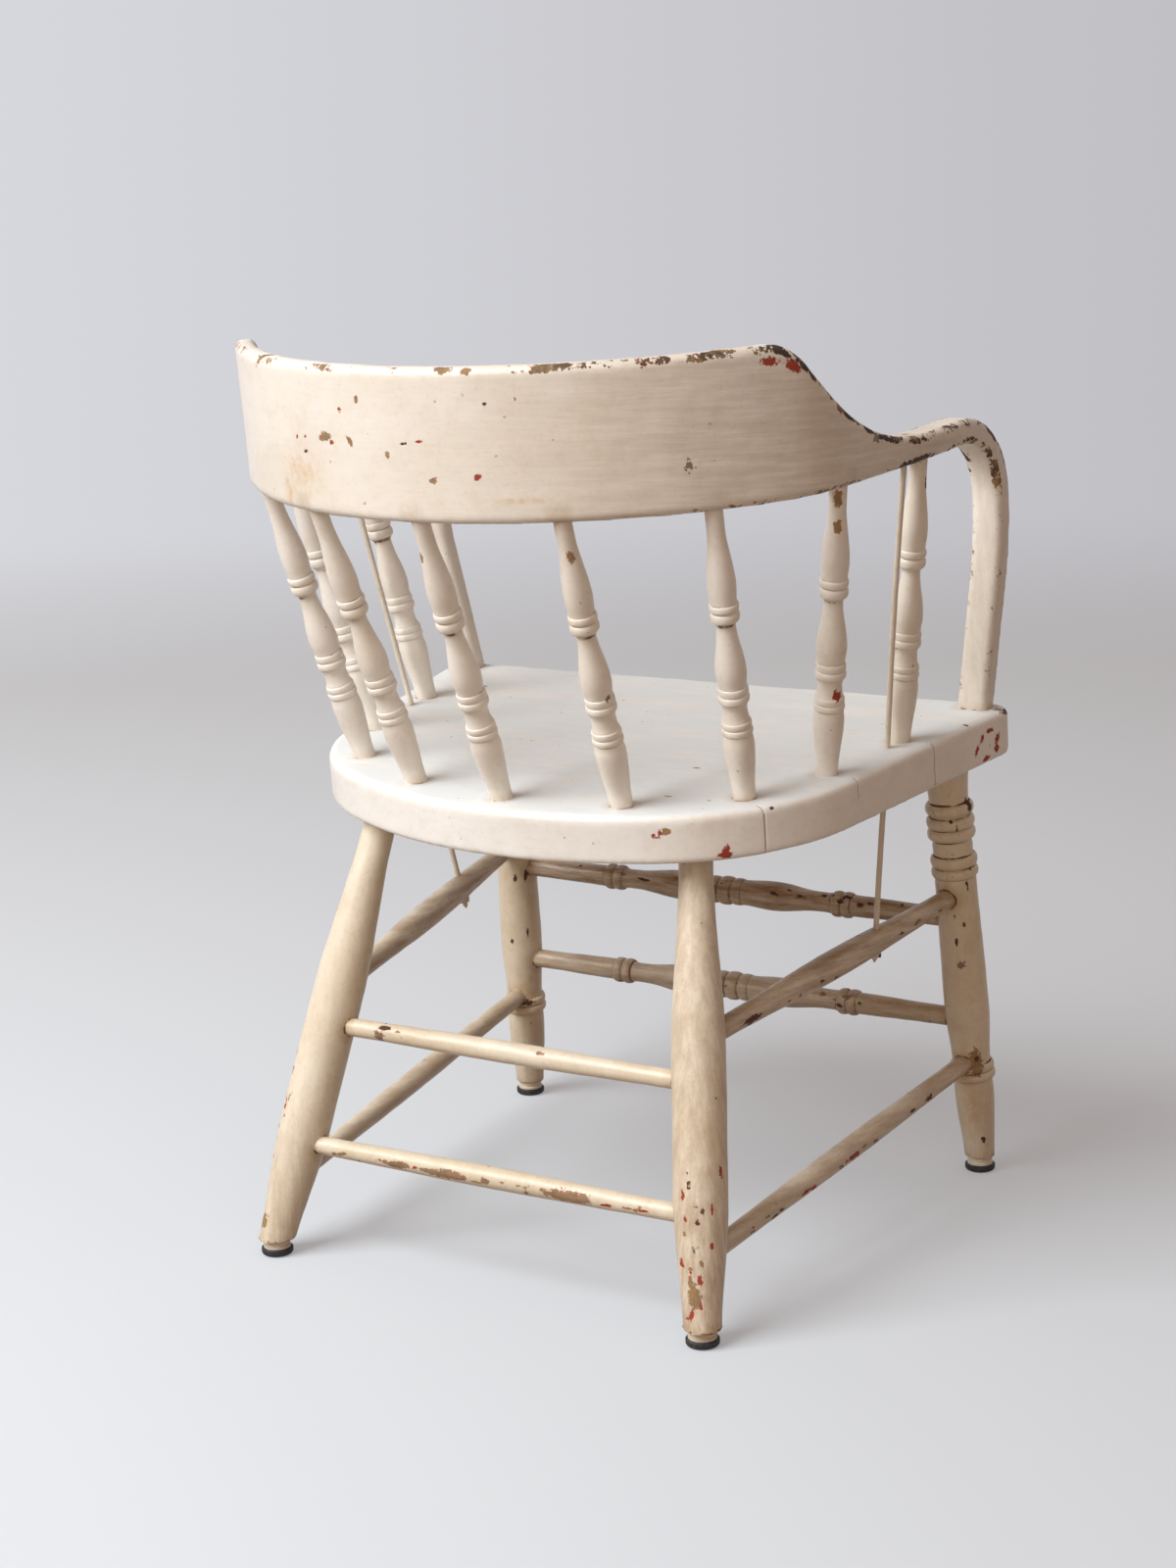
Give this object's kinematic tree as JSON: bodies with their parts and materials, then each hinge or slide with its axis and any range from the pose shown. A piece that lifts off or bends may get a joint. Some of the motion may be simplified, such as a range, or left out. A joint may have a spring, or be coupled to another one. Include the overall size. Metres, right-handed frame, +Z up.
{
  "type": "painted wooden armchair",
  "caption": "Bow-back wooden armchair: a bent bow and arm rail on turned spindles, a flat seat, splayed legs joined by stretchers, rubber-tipped feet, chipped cream paint.",
  "frame": {"origin": "middle of the chair's box, on the floor", "axes": "+Z up, the chair faces -Y, the sitter's left is +X"},
  "size_m": [0.6138, 0.559, 0.7942],
  "materials": {
    "bow_paint": "old cream gloss paint over red primer, chipped to bare wood, grimy in the grooves",
    "seat_paint": "old cream gloss paint over red primer, chipped to bare wood, grimy in the grooves",
    "spindle_paint": "old cream gloss paint over red primer, chipped to bare wood, grimy in the grooves",
    "leg_paint": "old cream gloss paint over red primer, chipped to bare wood, grimy in the grooves",
    "stretcher_paint": "old cream gloss paint over red primer, chipped to bare wood, grimy in the grooves",
    "rod_paint": "cream paint on steel, dulled by grime",
    "collar_paint": "cream paint on pressed steel",
    "pad_rubber": "black moulded rubber"
  },
  "bodies": {
    "root": {"bow": "bow_paint", "seat_board_front": "seat_paint", "seat_board_middle_front": "seat_paint", "seat_board_middle_rear": "seat_paint", "seat_board_rear": "seat_paint", "spindle_1": "spindle_paint", "spindle_2": "spindle_paint", "spindle_3": "spindle_paint", "spindle_4": "spindle_paint", "spindle_5": "spindle_paint", "spindle_6": "spindle_paint", "spindle_7": "spindle_paint", "spindle_8": "spindle_paint", "spindle_9": "spindle_paint", "leg_front_right": "leg_paint", "leg_front_left": "leg_paint", "leg_rear_right": "leg_paint", "leg_rear_left": "leg_paint", "stretcher_front_lower": "stretcher_paint", "stretcher_front_upper": "stretcher_paint", "stretcher_rear_lower": "stretcher_paint", "stretcher_rear_upper": "stretcher_paint", "stretcher_right_lower": "stretcher_paint", "stretcher_left_lower": "stretcher_paint", "stretcher_right_upper": "stretcher_paint", "stretcher_left_upper": "stretcher_paint", "tie_rod_right": "rod_paint", "tie_rod_left": "rod_paint", "tie_nut_right": "rod_paint", "tie_nut_left": "rod_paint", "glide_collar_front_right": "collar_paint", "glide_collar_front_left": "collar_paint", "glide_collar_rear_right": "collar_paint", "glide_collar_rear_left": "collar_paint", "glide_pad_front_right": "pad_rubber", "glide_pad_front_left": "pad_rubber", "glide_pad_rear_right": "pad_rubber", "glide_pad_rear_left": "pad_rubber"}
  },
  "joints": []
}
